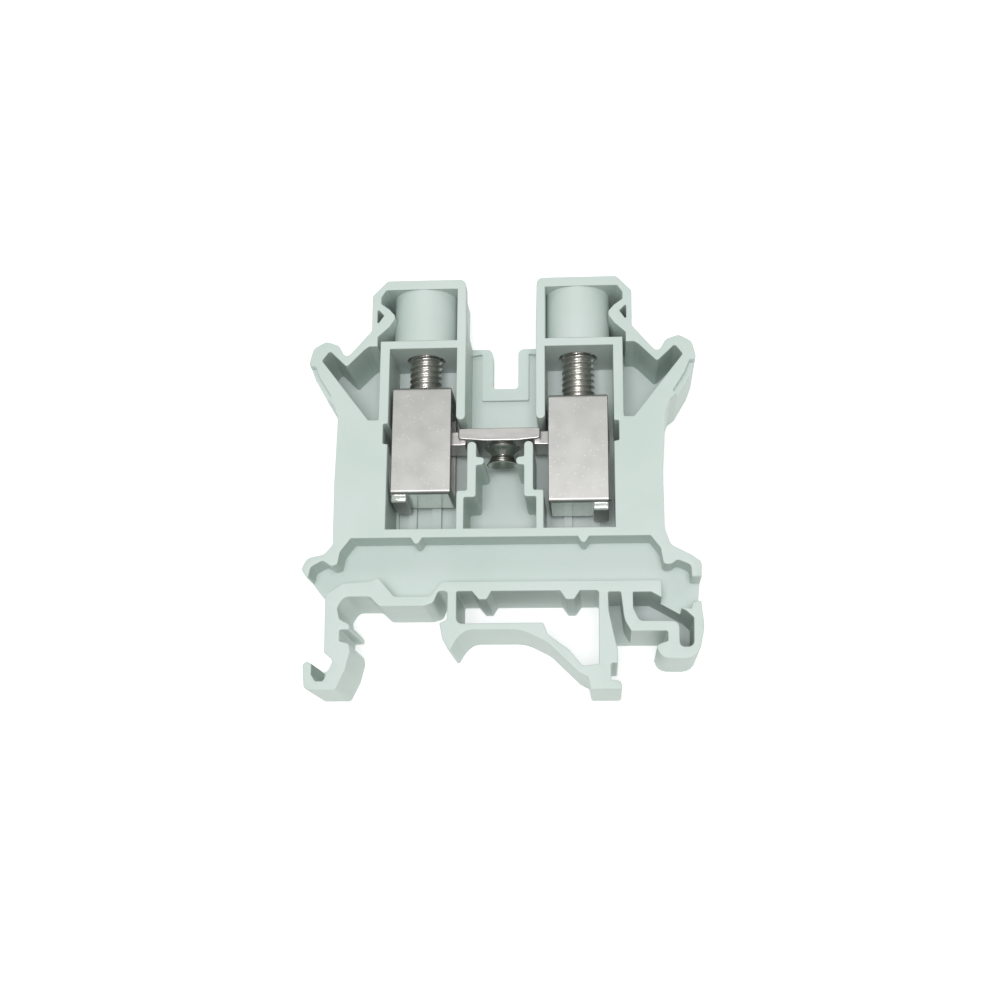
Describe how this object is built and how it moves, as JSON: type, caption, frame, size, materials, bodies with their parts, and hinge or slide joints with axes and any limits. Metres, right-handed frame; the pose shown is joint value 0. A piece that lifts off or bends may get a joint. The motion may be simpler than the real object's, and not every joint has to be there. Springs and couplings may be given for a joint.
{
  "type": "din rail terminal block",
  "caption": "Screw-clamp feed-through terminal block with a snap foot for top-hat rail, open on one side to show its clamp cages, screws and current bar.",
  "frame": {"origin": "centre of the block's bounding box, on the plane of its closed back", "axes": "+X along the wires, +Y from the rail towards the screw heads, +Z out of the open side"},
  "size_m": [0.0436, 0.047, 0.0102],
  "materials": {
    "polyamide": "pale grey-green moulded polyamide, fine satin grain",
    "tinned_copper": "tin-plated copper bar, softly brushed",
    "plated_steel": "zinc-plated steel with a fine speckle",
    "bright_steel": "bright plated screw steel"
  },
  "bodies": {
    "block": {"housing": "polyamide", "current_bar": "tinned_copper"},
    "left_cage": {"left_clamp_cage": "plated_steel"},
    "right_cage": {"right_clamp_cage": "plated_steel"},
    "left_screw": {"left_clamp_screw": "bright_steel"},
    "right_screw": {"right_clamp_screw": "bright_steel"}
  },
  "joints": [
    {"name": "left_cage_slide", "type": "slide", "parent": "block", "child": "left_cage", "axis": [0, 1, 0], "range_m": [-0.0024, 0.004]},
    {"name": "right_cage_slide", "type": "slide", "parent": "block", "child": "right_cage", "axis": [0, 1, 0], "range_m": [-0.0012, 0.0051]},
    {"name": "left_screw_turn", "type": "hinge", "parent": "block", "child": "left_screw", "pos_m": [-0.00895, 0.00625, 0.0059], "axis": [0, -1, 0], "range_deg": [-1240, 2065]},
    {"name": "right_screw_turn", "type": "hinge", "parent": "block", "child": "right_screw", "pos_m": [0.00862, 0.00625, 0.0059], "axis": [0, -1, 0], "range_deg": [-625, 2630]}
  ],
  "couplings": [
    {"joint": "left_screw_turn", "follows": "left_cage_slide", "rad_per_m": 8976},
    {"joint": "right_screw_turn", "follows": "right_cage_slide", "rad_per_m": 8976}
  ]
}
